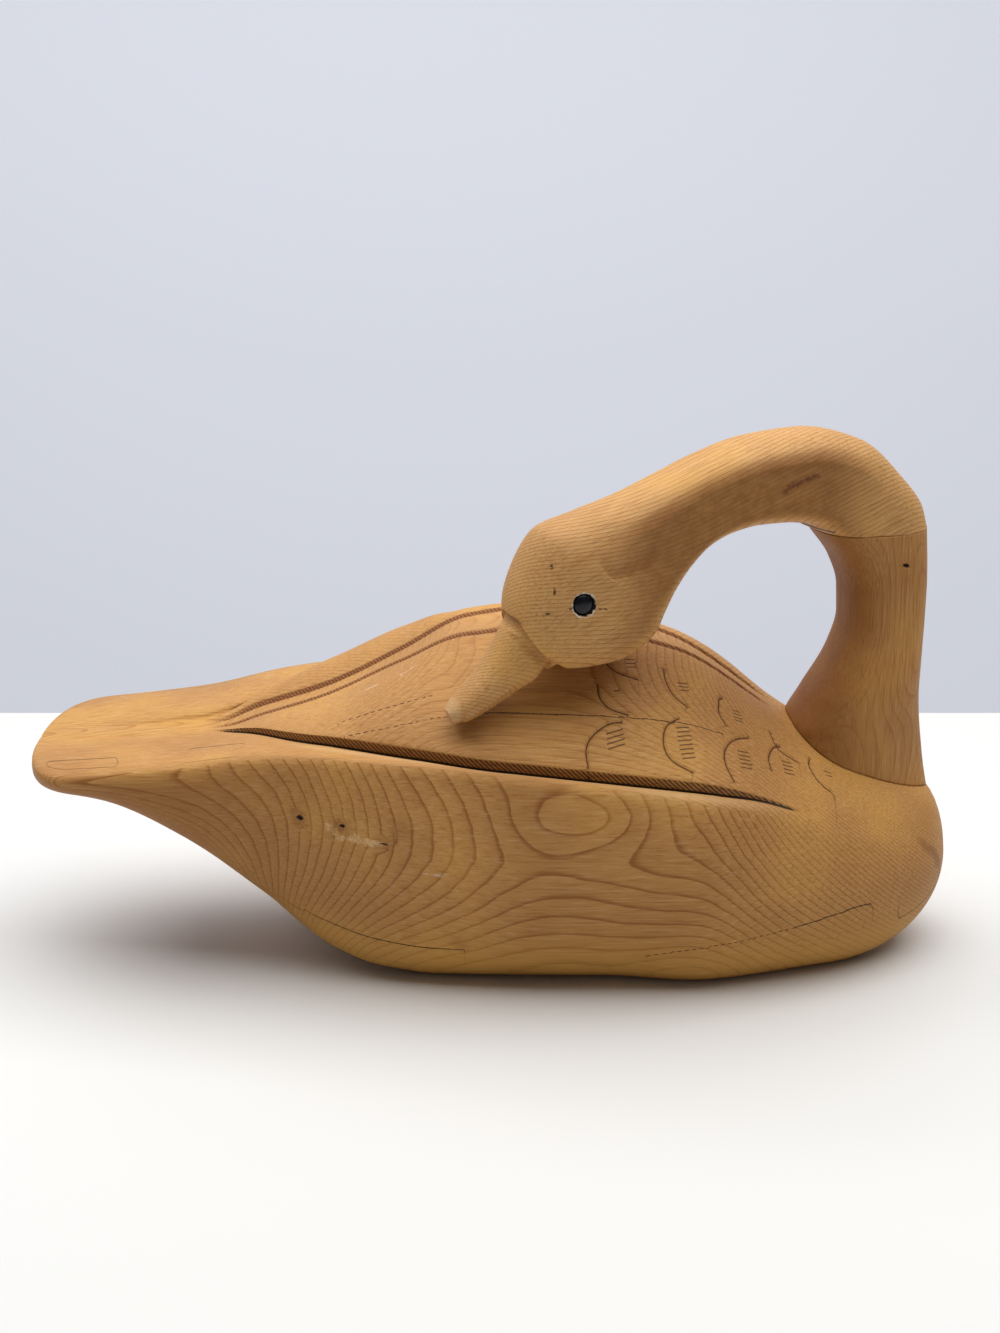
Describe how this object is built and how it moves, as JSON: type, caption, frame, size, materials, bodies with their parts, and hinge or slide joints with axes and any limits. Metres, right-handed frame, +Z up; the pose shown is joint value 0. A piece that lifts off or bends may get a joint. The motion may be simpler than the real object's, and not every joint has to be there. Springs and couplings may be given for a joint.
{
  "type": "carved swan decoy",
  "caption": "Carved wooden swan decoy standing on its flat underside, folded wings and feather cuts, its head turned back over its wing.",
  "frame": {"origin": "on the standing surface, under the middle of the body's length and width", "axes": "+X towards the breast, +Y away from the side that the head is turned to, +Z up"},
  "size_m": [0.61, 0.2616, 0.3529],
  "materials": {
    "body_wood": "satin, honey-coloured softwood with showing growth rings",
    "neck_wood": "satin, honey-coloured softwood, upright grain",
    "head_wood": "satin, pale honey-coloured softwood, slanting grain",
    "eye_bead": "glossy, near black"
  },
  "bodies": {
    "root": {"body": "body_wood", "lower_neck": "neck_wood", "head_and_upper_neck": "head_wood", "left_eye": "eye_bead", "right_eye": "eye_bead"}
  },
  "joints": []
}
